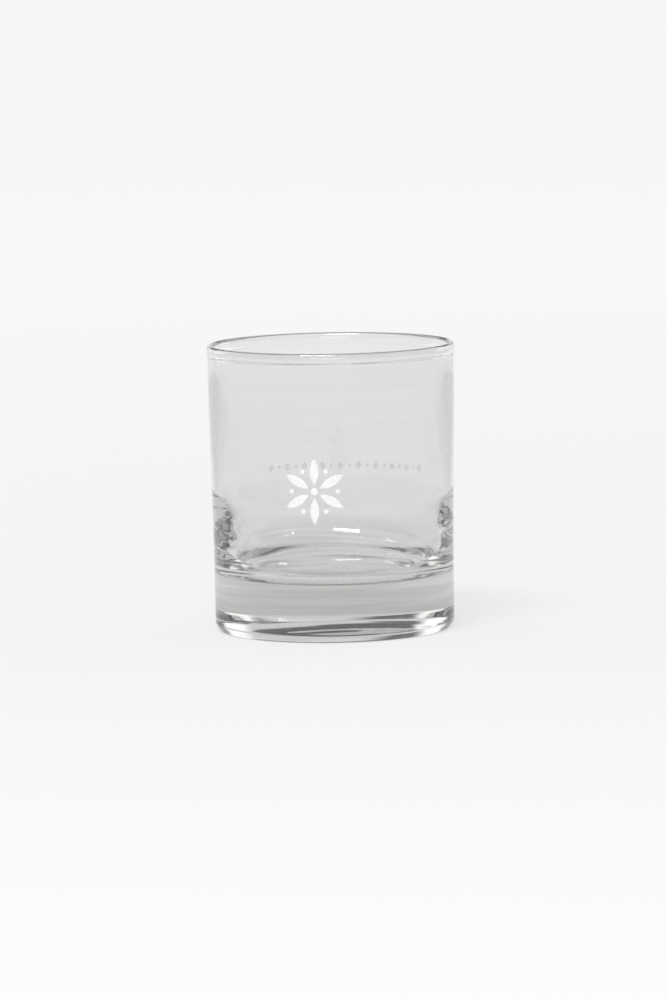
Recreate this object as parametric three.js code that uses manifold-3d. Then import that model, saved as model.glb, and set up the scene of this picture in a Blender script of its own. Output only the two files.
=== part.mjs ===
// A heavy-based glass tumbler: one turned glass body, a white enamel rosette on the front
// and a border of enamel marks on the back. Millimetres, +Z up, -Y is the front.
// The origin is the centre of the foot, on the surface that the tumbler stands on.
import * as THREE from "three";
import { mergeVertices } from "three/addons/utils/BufferGeometryUtils.js";
import Module from "manifold-3d";

// Outside of the glass
const HEIGHT = 93;
const RIM_DIAMETER = 80.4;
const FLARE = 1;
const FLARE_START = 15;
const FLARE_BELOW_RIM = 8;
const CHAMFER_WIDTH = 1.6;
const CHAMFER_HEIGHT = 2.4;
const CHAMFER_SOFTENING = 0.7;
const FOOT_RING_WIDTH = 5;
const PUSH_UP = 3.6;

// Lip: a fire-polished bead, proud of the outside of the wall
const BEAD_PROUD = 0.35;
const LIP_CROWN = 1.4;
const BEAD_HEIGHT = 3.2;

// Inside of the glass: heights of the bowl are measured from its floor, its lean in degrees
const BASE_THICKNESS = 17.6;
const UPPER_WALL = 1.8;
const SHOULDER_RISE = 28.9;
const SHOULDER_BEND = 3.5;
const BOWL_WALL = 5;
const BOWL_RISE = 9.4;
const BOWL_LEAN = 12;
const BOWL_BEND = 11;
const HEEL_DROP = 5.2;
const HEEL_WIDTH = 10;
const HEEL_BEND = 7.5;

// Enamel prints on the outside of the wall
const PRINT_HEIGHT = 49;
const PRINT_GAP = 0.08;
const PRINT_THICKNESS = 0.15;
const ROSETTE_PETALS = 6;
const ROSETTE_RADIUS = 10.6;
const PETAL_START = 2;
const PETAL_WIDTH = 3;
const ROSETTE_CENTRE_RADIUS = 1.2;
const ROSETTE_DOT_RADIUS = 0.75;
const ROSETTE_DOT_PLACE = 7.4;
const BORDER_LOZENGES = 10;
const BORDER_PITCH = 6.2;
const LOZENGE_WIDTH = 2.2;
const LOZENGE_HEIGHT = 2.8;
const BORDER_DOT_RADIUS = 0.55;

// Fineness of the round surfaces
const TURN_SEGMENTS = 80;
const CURVE_STEPS = 6;
const EDGE_STEPS = 3;
const WALL_STEPS = 7;
const DOT_STEPS = 12;

const UPPER_RADIUS = RIM_DIAMETER / 2 - BEAD_PROUD;
const LOWER_RADIUS = UPPER_RADIUS - FLARE;
const WALL_FOOT = CHAMFER_HEIGHT + CHAMFER_SOFTENING;
const SHOULDER_HEIGHT = BASE_THICKNESS + SHOULDER_RISE;
const BOWL_HEIGHT = BASE_THICKNESS + BOWL_RISE;

const wasm = await Module();
wasm.setup();

const clearGlass = () =>
  new THREE.MeshStandardMaterial({
    color: 0xe4e6e6,
    roughness: 0.04,
    metalness: 0,
    transparent: true,
    opacity: 0.35,
  });
const whiteEnamel = () =>
  new THREE.MeshStandardMaterial({ color: 0xf2f3f1, roughness: 0.45, metalness: 0 });

const point = (radius, height) => new THREE.Vector2(radius, height);

// Outer radius of the wall: straight at the base, opening slightly towards the rim.
function wallRadius(height) {
  const opening = THREE.MathUtils.smoothstep(height, FLARE_START, HEIGHT - FLARE_BELOW_RIM);
  return THREE.MathUtils.lerp(LOWER_RADIUS, UPPER_RADIUS, opening);
}

// Points at a constant depth below the outer face of the wall, from one height to another.
function wallPoints(from, to, depth) {
  return Array.from({ length: WALL_STEPS + 1 }, (_, i) => {
    const height = THREE.MathUtils.lerp(from, to, i / WALL_STEPS);
    return point(wallRadius(height) - depth, height);
  });
}

const bend = (...points) => new THREE.CubicBezierCurve(...points).getPoints(CURVE_STEPS);

function arc(centre, width, height, from, to) {
  const clockwise = to < from;
  const curve = new THREE.EllipseCurve(centre.x, centre.y, width, height, from, to, clockwise);
  return curve.getPoints(CURVE_STEPS);
}

// A corner of the profile, softened between its two neighbours.
function softCorner(before, corner, after) {
  const [start, end] = [before, after].map((neighbour) =>
    neighbour.clone().sub(corner).setLength(CHAMFER_SOFTENING).add(corner),
  );
  return new THREE.QuadraticBezierCurve(start, corner, end).getPoints(EDGE_STEPS);
}

// Underside: a shallow dome pushed up inside the foot ring, the ring, and a softened chamfer.
function undersidePoints() {
  const footEdge = point(LOWER_RADIUS - CHAMFER_WIDTH, 0);
  const ringEdge = point(footEdge.x - FOOT_RING_WIDTH, 0);
  const chamferTop = point(LOWER_RADIUS, CHAMFER_HEIGHT);
  const wallFoot = point(LOWER_RADIUS, WALL_FOOT);
  const domeRadius = (ringEdge.x ** 2 + PUSH_UP ** 2) / (2 * PUSH_UP);
  const domeCentre = point(0, PUSH_UP - domeRadius);
  const domeEdge = Math.asin(ringEdge.x / domeRadius);
  return [
    ...arc(domeCentre, domeRadius, domeRadius, Math.PI / 2, Math.PI / 2 - domeEdge),
    ...softCorner(ringEdge, footEdge, chamferTop),
    ...softCorner(footEdge, chamferTop, wallFoot),
  ];
}

// Lip: the outside swells into a bead, and a rounded crown joins it to the straight inside.
function lipPoints() {
  const beadFoot = HEIGHT - BEAD_HEIGHT;
  const crownFoot = HEIGHT - LIP_CROWN;
  const between = (beadFoot + crownFoot) / 2;
  const outerWall = wallRadius(beadFoot);
  const innerWall = outerWall - UPPER_WALL;
  const bead = RIM_DIAMETER / 2;
  const crownCentre = point((bead + innerWall) / 2, crownFoot);
  return [
    ...bend(
      point(outerWall, beadFoot),
      point(outerWall, between),
      point(bead, between),
      point(bead, crownFoot),
    ),
    ...arc(crownCentre, (bead - innerWall) / 2, LIP_CROWN, 0, Math.PI),
  ];
}

// Bowl: below the shoulder the side leans in at a steady angle, then the heel turns into the flat floor.
function bowlPoints() {
  const shoulder = wallRadius(SHOULDER_HEIGHT) - UPPER_WALL;
  const side = wallRadius(BOWL_HEIGHT) - BOWL_WALL;
  const floor = side - HEEL_WIDTH;
  const lean = Math.tan(THREE.MathUtils.degToRad(BOWL_LEAN));
  return [
    ...bend(
      point(shoulder, SHOULDER_HEIGHT),
      point(shoulder, SHOULDER_HEIGHT - SHOULDER_BEND),
      point(side + lean * BOWL_BEND, BOWL_HEIGHT + BOWL_BEND),
      point(side, BOWL_HEIGHT),
    ),
    ...bend(
      point(side, BOWL_HEIGHT),
      point(side - lean * HEEL_DROP, BOWL_HEIGHT - HEEL_DROP),
      point(floor + HEEL_BEND, BASE_THICKNESS),
      point(floor, BASE_THICKNESS),
    ),
    point(0, BASE_THICKNESS),
  ];
}

// Turns a profile of (radius, height) points about the Z axis.
function turned(profile) {
  const distinct = profile.filter((p, i) => i === 0 || p.distanceTo(profile[i - 1]) > 1e-6);
  return new THREE.LatheGeometry(distinct, TURN_SEGMENTS).rotateX(Math.PI / 2);
}

function makeGlassBody() {
  const profile = [
    ...undersidePoints(),
    ...wallPoints(WALL_FOOT, HEIGHT - BEAD_HEIGHT, 0),
    ...lipPoints(),
    ...wallPoints(HEIGHT - BEAD_HEIGHT, SHOULDER_HEIGHT, UPPER_WALL),
    ...bowlPoints(),
  ];
  const body = new THREE.Mesh(turned(profile), clearGlass());
  body.name = "glass_body";
  return body;
}

function solidOf(geometry) {
  const bare = geometry.clone();
  bare.deleteAttribute("normal");
  bare.deleteAttribute("uv");
  const merged = mergeVertices(bare, 1e-4);
  return new wasm.Manifold(
    new wasm.Mesh({
      numProp: 3,
      vertProperties: merged.attributes.position.array,
      triVerts: new Uint32Array(merged.index.array),
    }),
  );
}

function geometryOf(solid) {
  const { vertProperties, triVerts } = solid.getMesh();
  const geometry = new THREE.BufferGeometry();
  geometry.setAttribute("position", new THREE.BufferAttribute(vertProperties, 3));
  geometry.setIndex(new THREE.BufferAttribute(triVerts, 1));
  geometry.computeVertexNormals();
  return geometry;
}

// A sleeve of enamel over the whole wall, from which each print is cut.
function enamelSleeve() {
  const low = WALL_FOOT;
  const high = HEIGHT - BEAD_HEIGHT;
  const outside = wallPoints(low, high, -PRINT_GAP - PRINT_THICKNESS);
  const inside = wallPoints(high, low, -PRINT_GAP);
  return solidOf(turned([...outside, ...inside, outside[0]]));
}
const sleeve = enamelSleeve();

// A print: a flat outline projected from the axis through the front of the enamel sleeve.
function makePrint(name, outline) {
  const stencil = new THREE.ExtrudeGeometry(outline, { depth: RIM_DIAMETER, bevelEnabled: false });
  stencil.rotateX(Math.PI / 2).translate(0, 0, PRINT_HEIGHT);
  const print = new THREE.Mesh(geometryOf(sleeve.intersect(solidOf(stencil))), whiteEnamel());
  print.name = name;
  return print;
}

function dotOutline(centre, radius) {
  const circle = new THREE.EllipseCurve(centre.x, centre.y, radius, radius);
  return new THREE.Shape(circle.getPoints(DOT_STEPS));
}

// A leaf between two tips, with an arc on either side.
function petalOutline(start, end, width) {
  const middle = start.clone().add(end).multiplyScalar(0.5);
  const along = end.clone().sub(start);
  const aside = point(-along.y, along.x).setLength(width);
  const side = (sign) => middle.clone().addScaledVector(aside, sign);
  const outward = new THREE.QuadraticBezierCurve(start, side(1), end).getPoints(CURVE_STEPS);
  const back = new THREE.QuadraticBezierCurve(end, side(-1), start).getPoints(CURVE_STEPS);
  return new THREE.Shape([...outward, ...back.slice(1, -1)]);
}

function lozengeOutline() {
  return new THREE.Shape([
    point(LOZENGE_WIDTH / 2, 0),
    point(0, LOZENGE_HEIGHT / 2),
    point(-LOZENGE_WIDTH / 2, 0),
    point(0, -LOZENGE_HEIGHT / 2),
  ]);
}

// Front print: petals round a centre, with a dot in each gap between them.
function makeRosette() {
  const rosette = new THREE.Group();
  const away = (distance, angle) => point(0, distance).rotateAround(point(0, 0), angle);
  rosette.add(makePrint("rosette_centre", dotOutline(point(0, 0), ROSETTE_CENTRE_RADIUS)));
  for (let i = 0; i < ROSETTE_PETALS; i++) {
    const angle = (2 * Math.PI * i) / ROSETTE_PETALS;
    const gapAngle = angle + Math.PI / ROSETTE_PETALS;
    const petal = petalOutline(away(PETAL_START, angle), away(ROSETTE_RADIUS, angle), PETAL_WIDTH);
    const dot = dotOutline(away(ROSETTE_DOT_PLACE, gapAngle), ROSETTE_DOT_RADIUS);
    rosette.add(makePrint(`rosette_petal_${i + 1}`, petal));
    rosette.add(makePrint(`rosette_dot_${i + 1}`, dot));
  }
  return rosette;
}

// Rear print: a row of lozenges along the wall, with a dot between each two.
function makeBorder() {
  const border = new THREE.Group();
  const pitchAngle = BORDER_PITCH / wallRadius(PRINT_HEIGHT);
  const place = (print, steps) => {
    print.rotation.z = (steps - (BORDER_LOZENGES - 1) / 2) * pitchAngle;
    border.add(print);
  };
  for (let i = 0; i < BORDER_LOZENGES; i++) {
    place(makePrint(`border_lozenge_${i + 1}`, lozengeOutline()), i);
    if (i > 0) {
      place(makePrint(`border_dot_${i}`, dotOutline(point(0, 0), BORDER_DOT_RADIUS)), i - 0.5);
    }
  }
  border.rotation.z = Math.PI;
  return border;
}

const tumbler = new THREE.Group();
tumbler.add(makeGlassBody(), makeRosette(), makeBorder());

export default tumbler;
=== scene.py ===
"""A heavy-based glass tumbler with white enamel prints, on a pale studio floor."""
import math

import bmesh
import bpy
from mathutils import Matrix, Vector, noise


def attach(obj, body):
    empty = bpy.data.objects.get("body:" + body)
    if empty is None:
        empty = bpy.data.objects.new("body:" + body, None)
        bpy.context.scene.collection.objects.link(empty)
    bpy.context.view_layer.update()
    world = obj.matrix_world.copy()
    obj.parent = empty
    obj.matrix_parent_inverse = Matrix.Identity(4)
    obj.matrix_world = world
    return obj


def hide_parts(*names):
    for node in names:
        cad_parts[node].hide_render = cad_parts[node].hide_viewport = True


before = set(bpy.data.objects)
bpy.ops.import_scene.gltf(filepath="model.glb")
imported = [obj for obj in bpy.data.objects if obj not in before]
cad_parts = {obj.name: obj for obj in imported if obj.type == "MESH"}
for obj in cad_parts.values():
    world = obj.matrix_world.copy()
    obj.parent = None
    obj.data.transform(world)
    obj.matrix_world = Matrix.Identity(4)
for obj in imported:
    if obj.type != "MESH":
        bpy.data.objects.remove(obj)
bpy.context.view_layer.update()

MM = 0.001

# Camera: image lengths in pixels, place and sensor in millimetres, angles in degrees, reach in metres
IMAGE_LONG_SIDE = 999
FOCAL_PIXELS = 6205
CAMERA_DISTANCE = 2000
CAMERA_HEIGHT = 271.8
CAMERA_AZIMUTH = 8.6
CAMERA_PITCH = 6.556
CAMERA_ROLL = -0.993
SENSOR = 36
CAMERA_REACH = 100

# Outside of the glass, in millimetres
HEIGHT = 93
RIM_RADIUS = 40.2
FLARE = 1
FLARE_START = 15
FLARE_END = 85
CHAMFER_WIDTH = 1.6
CHAMFER_HEIGHT = 2.4
CHAMFER_SOFTENING = 0.7
FOOT_RING_WIDTH = 5
PUSH_UP = 3.6
BEAD_PROUD = 0.35
LIP_CROWN = 2
BEAD_HEIGHT = 4.6

# Inside of the glass, in millimetres, the lean of the bowl in degrees
BASE_THICKNESS = 17.6
UPPER_WALL = 1.8
SHOULDER_HEIGHT = 46.5
SHOULDER_BEND = 3.5
BOWL_WALL = 5
BOWL_HEIGHT = 27
BOWL_LEAN = 9
BOWL_BEND = 11
HEEL_DROP = 5.2
HEEL_WIDTH = 10
HEEL_BEND = 7.5

# Unevenness of the pressed bowl, in millimetres: it sets in between two radii of the bowl floor, and its
# ripples set in towards both sides, between two shares of the radius, from a height above that floor up
UNEVEN_RADII = (5, 25)
CAVITY_SHIFT = 0.5
RIPPLE = 0.06
RIPPLE_LENGTHS = (3, 10, 2.4)
FINE_RIPPLE_SHARE = 0.5
RIPPLE_SIDES = (0.7, 0.9)
RIPPLE_START = 3
RINGS = 0.006
RING_LENGTHS = (25, 25, 1.3)

# Unevenness of the dome under the base, in millimetres, the roll as a slope;
# both fade out from the given share of its radius on
DOME_ROLL = 0.03
DOME_WAVE = 0.12
DOME_WAVE_LENGTHS = (25, 5)
DOME_CALM_SHARE = 0.6

# Clear glass: streaks in the base and the share of them left above it, raised specks; lengths in
# millimetres, ranges of the noise that makes them
GLASS_TINTS = ((0.82, 0.815, 0.812, 1), (0.98, 0.975, 0.98, 1))
STREAK_LENGTHS = (60, 60, 2)
STREAK_RANGE = (0.4, 0.6)
STREAK_LEFT_ABOVE = 0.05
SPECK_LENGTHS = (1.1, 1.1, 1.1)
SPECK_RANGE = (0.76, 0.82)
SPECK_DEPTH = 0.008
GLASS_IOR = 1.52
ABSORPTION_TINT = (0.5, 0.5, 0.48, 1)
ABSORPTION_DENSITY = 12

# Enamel prints, in millimetres
PRINT_HEIGHT = 49
FILM_GAP = 0.01
FILM_THICKNESS = 0.06
FILM_EDGE_POWER = 8
PETALS = 6
ROSETTE_RADIUS = 10.6
PETAL_START = 2
PETAL_WIDTH = 3
CENTRE_RADIUS = 1.2
DOT_RADIUS = 0.75
DOT_PLACE = 7.4
LOZENGES = 10
BORDER_PITCH = 6.2
LOZENGE_WIDTH = 2.2
LOZENGE_HEIGHT = 2.8
BORDER_DOT_RADIUS = 0.55

# White enamel: mottled tint and roughness, fine grain, share of the ground that each face of a film covers
ENAMEL_TINTS = ((0.84, 0.84, 0.83, 1), (0.92, 0.92, 0.915, 1))
ENAMEL_ROUGHNESS = (0.5, 0.35)
MOTTLE_LENGTHS = (0.9, 0.9, 0.9)
TINT_RANGE = (0.35, 0.65)
ROUGHNESS_RANGE = (0.3, 0.7)
GRAIN_LENGTHS = (0.3, 0.3, 0.3)
GRAIN_DEPTH = 0.01
FRONT_COVER = 0.75
REAR_COVER = 0.18

# Studio sky: degrees from the middle of the backdrop to the end of each zone, tilt, (elevation, level) stops
SKY_ZONES = (
    (36, -0.12, ((3, 0.92), (5, 1.06), (13.5, 1.06), (16, 0.2), (38, 0.2), (46, 0.85))),
    (60, 0, ((3, 0.92), (6, 1.9), (35, 1.9), (46, 0.85))),
    (180, 0, ((3, 0.92), (4.2, 0.04), (18, 0.04), (28, 0.4), (50, 0.85))),
)
SKY_FEATHER = 6

# Floor, in metres, its glow as (distance from the glass, level) stops
FLOOR_HALF = 40
FLOOR_ALBEDO = 0.16
FLOOR_GLOW = ((0, 0.68), (1.5, 0.78), (10, 0.83))

# Grey cards at both sides: metres to the side and behind the glass, levels at the edges and in the middle
CARD_SIDE = (0.13, 0.7)
CARD_BEHIND = (0.2, 0.95)
CARD_LIFT = 0.001
CARD_FADE = 0.12
CARD_LEVELS = (0.9, 0.72)

# Lights: place and size in metres, power in watts
SOFT_LIGHT = ((-0.55, -1.75, 2.72), (1.5, 0.55), 88)
STRIP_LIGHT = ((-0.15, -2.5, 0.55), (1.4, 0.25), 9)

# Fineness of the surfaces
TURN_SEGMENTS = 420
DOME_STEPS = 60
BOWL_STEPS = 36
BOWL_FLOOR_STEPS = 4
LIP_STEPS = 16
WALL_STEPS = 12
EDGE_STEPS = 16
FILM_ROWS = 24
FILM_COLUMNS = 10

# Distances under which points count as one, in millimetres
SAME_POINT = 1e-6
SAME_VERTEX = 1e-4
EMPTY_EDGE = 1e-5

UPPER_RADIUS = RIM_RADIUS - BEAD_PROUD
LOWER_RADIUS = UPPER_RADIUS - FLARE
WALL_FOOT = CHAMFER_HEIGHT + CHAMFER_SOFTENING
BEAD_FOOT = HEIGHT - BEAD_HEIGHT
FOOT_RADIUS = LOWER_RADIUS - CHAMFER_WIDTH
DOME_RADIUS = FOOT_RADIUS - FOOT_RING_WIDTH

# Axes of the glass, and the turn from them to the studio, whose north is the backdrop
EAST = Vector((1, 0, 0))
NORTH = Vector((0, 1, 0))
UP = Vector((0, 0, 1))
STUDIO_TURN = Matrix.Rotation(math.radians(CAMERA_AZIMUTH), 3, "Z")


def smoothstep(value, low, high):
    share = min(max((value - low) / (high - low), 0), 1)
    return share * share * (3 - 2 * share)


def lerp(a, b, share):
    return a + (b - a) * share


def steps(count):
    return [i / count for i in range(count + 1)]


def wall_radius(height):
    return lerp(LOWER_RADIUS, UPPER_RADIUS, smoothstep(height, FLARE_START, FLARE_END))


def wall_points(start, end, depth):
    heights = [lerp(start, end, share) for share in steps(WALL_STEPS)]
    return [(wall_radius(height) - depth, height) for height in heights]


def bend(a, b, c, d, count):
    """Points along a cubic curve from a to d."""
    points = []
    for t in steps(count):
        s = 1 - t
        weights = (s * s * s, 3 * s * s * t, 3 * s * t * t, t * t * t)
        points.append(tuple(sum(w * p[i] for w, p in zip(weights, (a, b, c, d))) for i in (0, 1)))
    return points


def arc(centre, width, height, start, end, count):
    angles = [lerp(start, end, share) for share in steps(count)]
    return [(centre[0] + width * math.cos(a), centre[1] + height * math.sin(a)) for a in angles]


def soft_corner(before, corner, after):
    """A corner of the profile, softened by a parabola between its two neighbours."""
    ends = []
    for neighbour in (before, after):
        share = CHAMFER_SOFTENING / math.dist(neighbour, corner)
        ends.append(tuple(lerp(c, n, share) for c, n in zip(corner, neighbour)))
    near = [tuple(lerp(e, c, 2 / 3) for e, c in zip(end, corner)) for end in ends]
    return bend(ends[0], near[0], near[1], ends[1], EDGE_STEPS)


def underside_points():
    foot_edge = (FOOT_RADIUS, 0)
    ring_edge = (DOME_RADIUS, 0)
    chamfer_top = (LOWER_RADIUS, CHAMFER_HEIGHT)
    wall_foot = (LOWER_RADIUS, WALL_FOOT)
    sphere = (DOME_RADIUS**2 + PUSH_UP**2) / (2 * PUSH_UP)
    top = math.pi / 2
    edge = top - math.asin(DOME_RADIUS / sphere)
    return (
        arc((0, PUSH_UP - sphere), sphere, sphere, top, edge, DOME_STEPS)
        + soft_corner(ring_edge, foot_edge, chamfer_top)
        + soft_corner(foot_edge, chamfer_top, wall_foot)
    )


def lip_points():
    crown_foot = HEIGHT - LIP_CROWN
    between = (BEAD_FOOT + crown_foot) / 2
    outer_wall = wall_radius(BEAD_FOOT)
    half_lip = (RIM_RADIUS - outer_wall + UPPER_WALL) / 2
    swell = bend(
        (outer_wall, BEAD_FOOT),
        (outer_wall, between),
        (RIM_RADIUS, between),
        (RIM_RADIUS, crown_foot),
        LIP_STEPS,
    )
    return swell + arc((RIM_RADIUS - half_lip, crown_foot), half_lip, LIP_CROWN, 0, math.pi, LIP_STEPS)


def bowl_points():
    shoulder = wall_radius(SHOULDER_HEIGHT) - UPPER_WALL
    side = wall_radius(BOWL_HEIGHT) - BOWL_WALL
    floor = side - HEEL_WIDTH
    lean = math.tan(math.radians(BOWL_LEAN))
    sloping = bend(
        (shoulder, SHOULDER_HEIGHT),
        (shoulder, SHOULDER_HEIGHT - SHOULDER_BEND),
        (side + lean * BOWL_BEND, BOWL_HEIGHT + BOWL_BEND),
        (side, BOWL_HEIGHT),
        BOWL_STEPS,
    )
    heel = bend(
        (side, BOWL_HEIGHT),
        (side - lean * HEEL_DROP, BOWL_HEIGHT - HEEL_DROP),
        (floor + HEEL_BEND, BASE_THICKNESS),
        (floor, BASE_THICKNESS),
        BOWL_STEPS,
    )
    return sloping + heel + [(floor * (1 - share), BASE_THICKNESS) for share in steps(BOWL_FLOOR_STEPS)]


def glass_profile():
    """Points (radius, height, is_inside) from the middle of the underside to the middle of the bowl."""
    outside = underside_points() + wall_points(WALL_FOOT, BEAD_FOOT, 0) + lip_points()
    inside = wall_points(BEAD_FOOT, SHOULDER_HEIGHT, UPPER_WALL) + bowl_points()
    points = [(*p, False) for p in outside] + [(*p, True) for p in inside]
    apart = [points[0]]
    for p in points[1:]:
        if math.dist(p[:2], apart[-1][:2]) > SAME_POINT:
            apart.append(p)
    return apart


def waves(place, lengths):
    """Smooth noise about 0, its features of the given millimetres along xyz."""
    return noise.noise(Vector(p / length for p, length in zip(place, lengths)))


def uneven_inside(place, radius):
    """Shift of a point of the bowl: the bowl sits off the axis and its surface is slightly rippled."""
    in_studio = STUDIO_TURN.transposed() @ place
    fine = waves(2 * in_studio, RIPPLE_LENGTHS)
    ripple = waves(in_studio, RIPPLE_LENGTHS) + FINE_RIPPLE_SHARE * fine
    at_side = smoothstep(abs(in_studio.x) / radius, *RIPPLE_SIDES)
    above_floor = smoothstep(place.z, BASE_THICKNESS + RIPPLE_START, BOWL_HEIGHT)
    below_shoulder = 1 - smoothstep(place.z, BOWL_HEIGHT, SHOULDER_HEIGHT)
    swell = RIPPLE * ripple * at_side * above_floor + RINGS * waves(place, RING_LENGTHS)
    outward = Vector((place.x, place.y, 0)).normalized()
    shift = CAVITY_SHIFT * (STUDIO_TURN @ EAST) + swell * outward
    return below_shoulder * smoothstep(radius, *UNEVEN_RADII) * shift


def uneven_outside(place, radius):
    """Shift of a point outside: the dome under the base is wavy and rolled a little to one side."""
    inner = 1 - smoothstep(radius, DOME_CALM_SHARE * DOME_RADIUS, DOME_RADIUS)
    east, north, _ = STUDIO_TURN.transposed() @ place
    wave = waves((east, north, 0), (*DOME_WAVE_LENGTHS, 1))
    return inner * (DOME_ROLL * east + DOME_WAVE * wave) * UP


def link(name, data):
    made = bpy.data.objects.new(name, data)
    bpy.context.collection.objects.link(made)
    return made


def make_glass():
    verts, rings = [], []
    for radius, height, is_inside in glass_profile():
        ring = []
        for k in range(TURN_SEGMENTS if radius > 0 else 1):
            angle = 2 * math.pi * k / TURN_SEGMENTS
            place = Vector((radius * math.cos(angle), radius * math.sin(angle), height))
            if radius > 0:
                place += uneven_inside(place, radius) if is_inside else uneven_outside(place, radius)
            ring.append(len(verts))
            verts.append(place * MM)
        rings.append(ring)
    faces = []
    for lower, upper in zip(rings, rings[1:]):
        for k in range(TURN_SEGMENTS):
            n = (k + 1) % TURN_SEGMENTS
            if len(lower) == 1:
                faces.append((lower[0], upper[n], upper[k]))
            elif len(upper) == 1:
                faces.append((lower[k], lower[n], upper[0]))
            else:
                faces.append((lower[k], lower[n], upper[n], upper[k]))
    mesh = bpy.data.meshes.new("tumbler_glass")
    mesh.from_pydata(verts, [], faces)
    mesh.shade_smooth()
    return link("tumbler_glass", mesh)


def on_wall(x, z, lift, turn):
    """A point of a flat design, projected on the wall, lifted off it and turned round the axis."""
    radius = wall_radius(z) + lift
    place = Vector((x, -math.sqrt(radius * radius - x * x), z)) * MM
    return Matrix.Rotation(turn, 3, "Z") @ place


def make_film(node, start, end, half_width, turn):
    """A film of enamel from start to end of the flat design, thinning out to its edges."""
    along = end - start
    aside = Vector((-along.y, along.x)).normalized()
    build = bmesh.new()
    for outer in (True, False):
        grid = []
        for row in steps(FILM_ROWS):
            share = (1 - math.cos(math.pi * row)) / 2
            middle = start + along * share + Vector((0, PRINT_HEIGHT))
            verts = []
            for column in steps(FILM_COLUMNS):
                across = math.sin((column - 0.5) * math.pi)
                flat = middle + aside * across * half_width(share)
                crown = (1 - across**FILM_EDGE_POWER) * min(1, half_width(share) / FILM_THICKNESS)
                lift = FILM_GAP + (FILM_THICKNESS * crown if outer else 0)
                verts.append(build.verts.new(on_wall(flat.x, flat.y, lift, turn)))
            grid.append(verts)
        for lower, upper in zip(grid, grid[1:]):
            for k in range(FILM_COLUMNS):
                build.faces.new((lower[k], lower[k + 1], upper[k + 1], upper[k]))
    bmesh.ops.remove_doubles(build, verts=build.verts, dist=SAME_VERTEX * MM)
    bmesh.ops.dissolve_degenerate(build, edges=build.edges, dist=EMPTY_EDGE * MM)
    bmesh.ops.recalc_face_normals(build, faces=build.faces)
    mesh = bpy.data.meshes.new(f"{node}_film")
    build.to_mesh(mesh)
    build.free()
    mesh.shade_smooth()
    film = link(f"{node}_film", mesh)
    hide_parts(node)
    return film


def make_petal(node, start, end):
    return make_film(node, start, end, lambda t: 2 * PETAL_WIDTH * t * (1 - t), 0)


def make_dot(node, centre, radius, turn):
    def half_width(t):
        return 2 * radius * math.sqrt(t * (1 - t))

    reach = Vector((0, radius))
    return make_film(node, centre - reach, centre + reach, half_width, turn)


def make_lozenge(node, turn):
    reach = Vector((0, LOZENGE_HEIGHT / 2))
    return make_film(node, -reach, reach, lambda t: LOZENGE_WIDTH * min(t, 1 - t), turn)


def make_rosette():
    def away(distance, angle):
        return Vector((-math.sin(angle), math.cos(angle))) * distance

    films = [make_dot("rosette_centre", Vector((0, 0)), CENTRE_RADIUS, 0)]
    for i in range(PETALS):
        angle = 2 * math.pi * i / PETALS
        gap = angle + math.pi / PETALS
        petal_ends = (away(PETAL_START, angle), away(ROSETTE_RADIUS, angle))
        films.append(make_petal(f"rosette_petal_{i + 1}", *petal_ends))
        films.append(make_dot(f"rosette_dot_{i + 1}", away(DOT_PLACE, gap), DOT_RADIUS, 0))
    return films


def make_border():
    pitch = BORDER_PITCH / wall_radius(PRINT_HEIGHT)
    films = []
    for i in range(LOZENGES):
        turn = math.pi + (i - (LOZENGES - 1) / 2) * pitch
        films.append(make_lozenge(f"border_lozenge_{i + 1}", turn))
        if i > 0:
            films.append(make_dot(f"border_dot_{i}", Vector((0, 0)), BORDER_DOT_RADIUS, turn - pitch / 2))
    return films


def new_material(name):
    material = bpy.data.materials.new(name)
    material.use_nodes = True
    return material, material.node_tree, material.node_tree.nodes["Principled BSDF"]


def own_place(tree):
    """The place of a point of the piece, in the piece's own axes."""
    return tree.nodes.new("ShaderNodeTexCoord").outputs["Object"]


def vector_math(tree, operation, value, other=None):
    node = tree.nodes.new("ShaderNodeVectorMath")
    node.operation = operation
    tree.links.new(value, node.inputs[0])
    if other is not None:
        node.inputs[1].default_value = other
    return node.outputs["Value" if operation in ("DOT_PRODUCT", "LENGTH") else "Vector"]


def product(tree, value, other):
    node = tree.nodes.new("ShaderNodeMath")
    node.operation = "MULTIPLY"
    tree.links.new(value, node.inputs[0])
    tree.links.new(other, node.inputs[1])
    return node.outputs[0]


def map_range(tree, value, source, target, kind="SMOOTHSTEP"):
    node = tree.nodes.new("ShaderNodeMapRange")
    node.interpolation_type = kind
    node.inputs["From Min"].default_value, node.inputs["From Max"].default_value = source
    node.inputs["To Min"].default_value, node.inputs["To Max"].default_value = target
    tree.links.new(value, node.inputs["Value"])
    return node.outputs["Result"]


def ramp(tree, value, levels):
    """Grey levels along a value from 0 to 1, given as (place, level) stops."""
    node = tree.nodes.new("ShaderNodeValToRGB")
    stops = node.color_ramp.elements
    while len(stops) < len(levels):
        stops.new(1)
    for stop, (place, level) in zip(stops, levels):
        stop.position = place
        stop.color = (level, level, level, 1)
    tree.links.new(value, node.inputs[0])
    return node.outputs[0]


def blend(tree, share, low, high):
    """A colour between low and high, each given as a tuple or as the output of a node."""
    mix = tree.nodes.new("ShaderNodeMix")
    mix.data_type = "RGBA"
    tree.links.new(share, mix.inputs["Factor"])
    for value, socket in ((low, mix.inputs[6]), (high, mix.inputs[7])):
        if isinstance(value, tuple):
            socket.default_value = value
        else:
            tree.links.new(value, socket)
    return mix.outputs[2]


def noise_at(tree, lengths, detail):
    """Noise of about 0.2 to 0.8 over the piece, its features of the given millimetres along xyz."""
    texture = tree.nodes.new("ShaderNodeTexNoise")
    texture.inputs["Scale"].default_value = 1
    texture.inputs["Detail"].default_value = detail
    scaled = vector_math(tree, "MULTIPLY", own_place(tree), [1 / (length * MM) for length in lengths])
    tree.links.new(scaled, texture.inputs["Vector"])
    return texture.outputs["Fac"]


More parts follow.
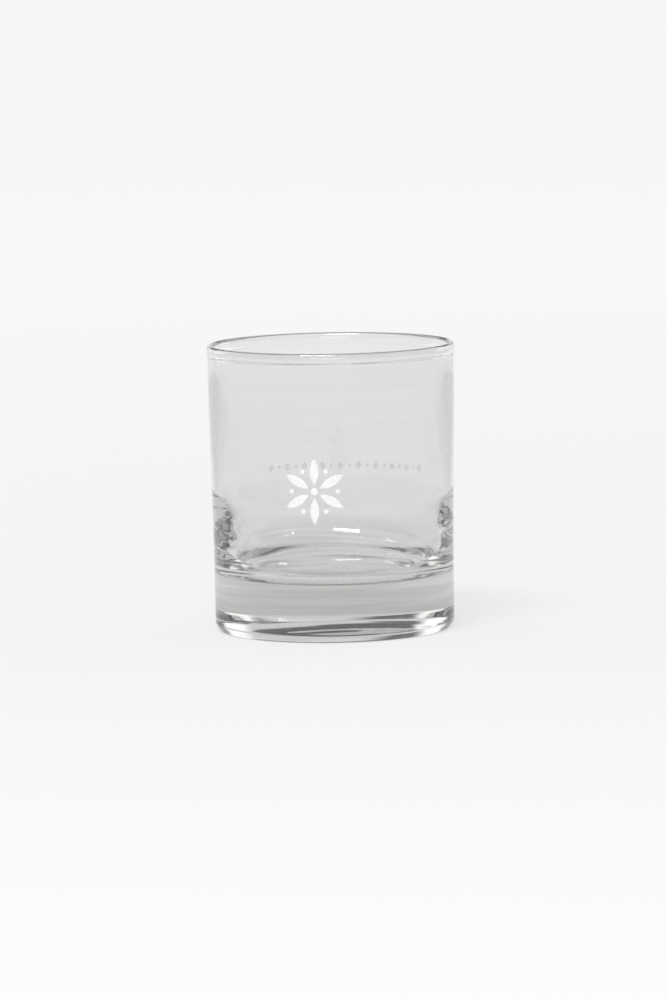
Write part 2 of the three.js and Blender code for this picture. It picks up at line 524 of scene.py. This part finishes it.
def bump(tree, height, depth):
    """A normal from a height between 0 and 1 that stands for the given millimetres."""
    node = tree.nodes.new("ShaderNodeBump")
    node.inputs["Strength"].default_value = 1
    node.inputs["Distance"].default_value = depth * MM
    tree.links.new(height, node.inputs["Height"])
    return node.outputs["Normal"]


def glass_material():
    """Clear glass with faint streaks in its thick base and a few tiny raised specks."""
    material, tree, shader = new_material("clear_glass")
    height = vector_math(tree, "DOT_PRODUCT", own_place(tree), UP)
    low = map_range(tree, height, (BASE_THICKNESS * MM, BOWL_HEIGHT * MM), (1, STREAK_LEFT_ABOVE))
    streak = map_range(tree, noise_at(tree, STREAK_LENGTHS, detail=3), STREAK_RANGE, (-1, 1))
    tint = map_range(tree, product(tree, low, streak), (-1, 1), (0, 1), "LINEAR")
    tree.links.new(blend(tree, tint, *GLASS_TINTS), shader.inputs["Base Color"])
    speck = map_range(tree, noise_at(tree, SPECK_LENGTHS, detail=0), SPECK_RANGE, (0, 1))
    tree.links.new(bump(tree, speck, SPECK_DEPTH), shader.inputs["Normal"])
    shader.inputs["Roughness"].default_value = 0
    shader.inputs["IOR"].default_value = GLASS_IOR
    shader.inputs["Transmission Weight"].default_value = 1
    absorb = tree.nodes.new("ShaderNodeVolumeAbsorption")
    absorb.inputs["Color"].default_value = ABSORPTION_TINT
    absorb.inputs["Density"].default_value = ABSORPTION_DENSITY
    tree.links.new(absorb.outputs[0], tree.nodes["Material Output"].inputs["Volume"])
    return material


def enamel_material(name, cover):
    """White enamel whose film covers the given share of what lies behind each of its two faces."""
    material, tree, shader = new_material(name)
    mottle = noise_at(tree, MOTTLE_LENGTHS, detail=4)
    colour = blend(tree, map_range(tree, mottle, TINT_RANGE, (0, 1)), *ENAMEL_TINTS)
    tree.links.new(colour, shader.inputs["Base Color"])
    tree.links.new(map_range(tree, mottle, ROUGHNESS_RANGE, ENAMEL_ROUGHNESS), shader.inputs["Roughness"])
    grain = noise_at(tree, GRAIN_LENGTHS, detail=2)
    tree.links.new(bump(tree, grain, GRAIN_DEPTH), shader.inputs["Normal"])
    shader.inputs["Alpha"].default_value = cover
    return material


def dress():
    glass = make_glass()
    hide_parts("glass_body")
    groups = (
        ([glass], "clear_glass", glass_material()),
        (make_rosette(), "white_enamel", enamel_material("white_enamel", FRONT_COVER)),
        (make_border(), "white_enamel", enamel_material("thin_white_enamel", REAR_COVER)),
    )
    for pieces, slot, material in groups:
        for piece in pieces:
            piece.data.materials.append(material)
            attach(piece, "root")


def glow_material(name, albedo):
    """A matt grey with a white glow, whose strength is still to be linked."""
    material, tree, shader = new_material(name)
    shader.inputs["Base Color"].default_value = (albedo, albedo, albedo, 1)
    shader.inputs["Roughness"].default_value = 1
    shader.inputs["Specular IOR Level"].default_value = 0
    shader.inputs["Emission Color"].default_value = (1, 1, 1, 1)
    return material, tree, shader.inputs["Emission Strength"]


def make_panel(name, across, along, material):
    """A flat rectangle between two places across and two along."""
    (left, right), (near, far) = across, along
    corners = [(left, near, 0), (right, near, 0), (right, far, 0), (left, far, 0)]
    mesh = bpy.data.meshes.new(name)
    mesh.from_pydata(corners, [], [(0, 1, 2, 3)])
    mesh.materials.append(material)
    return link(name, mesh)


def make_floor():
    material, tree, strength = glow_material("floor", FLOOR_ALBEDO)
    reach = FLOOR_GLOW[-1][0]
    distance = vector_math(tree, "LENGTH", own_place(tree))
    share = map_range(tree, distance, (0, reach), (0, 1), "LINEAR")
    tree.links.new(ramp(tree, share, [(away / reach, level) for away, level in FLOOR_GLOW]), strength)
    extent = (-FLOOR_HALF, FLOOR_HALF)
    floor = make_panel("floor", extent, extent, material)


def make_cards():
    """Cards on the floor that darken the edges of the glass, and that only the glass shows."""
    material, tree, strength = glow_material("card", 0)
    where = own_place(tree)
    share = None
    for axis, (start, end) in ((EAST, CARD_SIDE), (NORTH, CARD_BEHIND)):
        along = vector_math(tree, "DOT_PRODUCT", where, axis)
        for edge, inner in ((start, start + CARD_FADE), (end, end - CARD_FADE)):
            fade = map_range(tree, along, (edge, inner), (0, 1))
            share = fade if share is None else product(tree, share, fade)
    tree.links.new(map_range(tree, share, (0, 1), CARD_LEVELS, "LINEAR"), strength)
    lifted = Matrix.Translation((0, 0, CARD_LIFT)) @ STUDIO_TURN.to_4x4()
    for side in (-1, 1):
        card = make_panel("card", CARD_SIDE, CARD_BEHIND, material)
        card.matrix_world = lifted @ Matrix.Scale(side, 4, EAST)
        card.visible_camera = False
        card.visible_diffuse = False
        card.visible_shadow = False


def make_world():
    """A studio sky of zones round the glass, each with its own light levels from the horizon up."""
    world = bpy.data.worlds.new("studio")
    bpy.context.scene.world = world
    world.use_nodes = True
    tree = world.node_tree
    where = tree.nodes.new("ShaderNodeTexCoord").outputs["Generated"]
    flat = vector_math(tree, "NORMALIZE", vector_math(tree, "MULTIPLY", where, (1, 1, 0)))
    behind = vector_math(tree, "DOT_PRODUCT", flat, STUDIO_TURN @ NORTH)
    sky = None
    for end, tilt, levels in reversed(SKY_ZONES):
        height = vector_math(tree, "DOT_PRODUCT", where, STUDIO_TURN @ Vector((tilt, 0, 1)))
        zone = ramp(tree, height, [(math.sin(math.radians(degrees)), level) for degrees, level in levels])
        if sky is None:
            sky = zone
            continue
        edges = [math.cos(math.radians(end + SKY_FEATHER)), math.cos(math.radians(end - SKY_FEATHER))]
        sky = blend(tree, map_range(tree, behind, edges, (0, 1)), sky, zone)
    tree.links.new(sky, tree.nodes["Background"].inputs["Color"])


def make_light(name, place, size, power):
    """A light that points at the glass, and shows in its reflections but not through it."""
    data = bpy.data.lights.new(name, "AREA")
    data.shape = "RECTANGLE"
    data.size, data.size_y = size
    data.energy = power
    light = link(name, data)
    place = STUDIO_TURN @ Vector(place)
    aim = (HEIGHT / 2 * MM * UP - place).to_track_quat("-Z", "Y")
    light.matrix_world = Matrix.Translation(place) @ aim.to_matrix().to_4x4()
    light.visible_transmission = False


def make_camera():
    data = bpy.data.cameras.new("camera")
    data.sensor_width = SENSOR
    data.lens = FOCAL_PIXELS * SENSOR / IMAGE_LONG_SIDE
    data.clip_end = CAMERA_REACH
    camera = link("camera", data)
    pitch, roll = math.radians(CAMERA_PITCH), math.radians(CAMERA_ROLL)
    forward = math.cos(pitch) * NORTH - math.sin(pitch) * UP
    upward = EAST.cross(forward)
    rolled_right = math.cos(roll) * EAST + math.sin(roll) * upward
    rolled_up = -math.sin(roll) * EAST + math.cos(roll) * upward
    axes = STUDIO_TURN @ Matrix((rolled_right, rolled_up, -forward)).transposed()
    place = STUDIO_TURN @ Vector((0, -CAMERA_DISTANCE, CAMERA_HEIGHT)) * MM
    camera.matrix_world = Matrix.Translation(place) @ axes.to_4x4()
    bpy.context.scene.camera = camera


def set_tones_and_bounces():
    """Plain tones, and light that can pass the many faces of the glass and keeps its small highlights."""
    scene = bpy.context.scene
    scene.view_settings.view_transform = "Standard"
    scene.cycles.max_bounces = 64
    scene.cycles.transmission_bounces = 48
    scene.cycles.glossy_bounces = 48
    scene.cycles.transparent_max_bounces = 12
    scene.cycles.sample_clamp_indirect = 0


dress()
make_floor()
make_cards()
make_world()
make_light("soft", *SOFT_LIGHT)
make_light("strip", *STRIP_LIGHT)
make_camera()
set_tones_and_bounces()
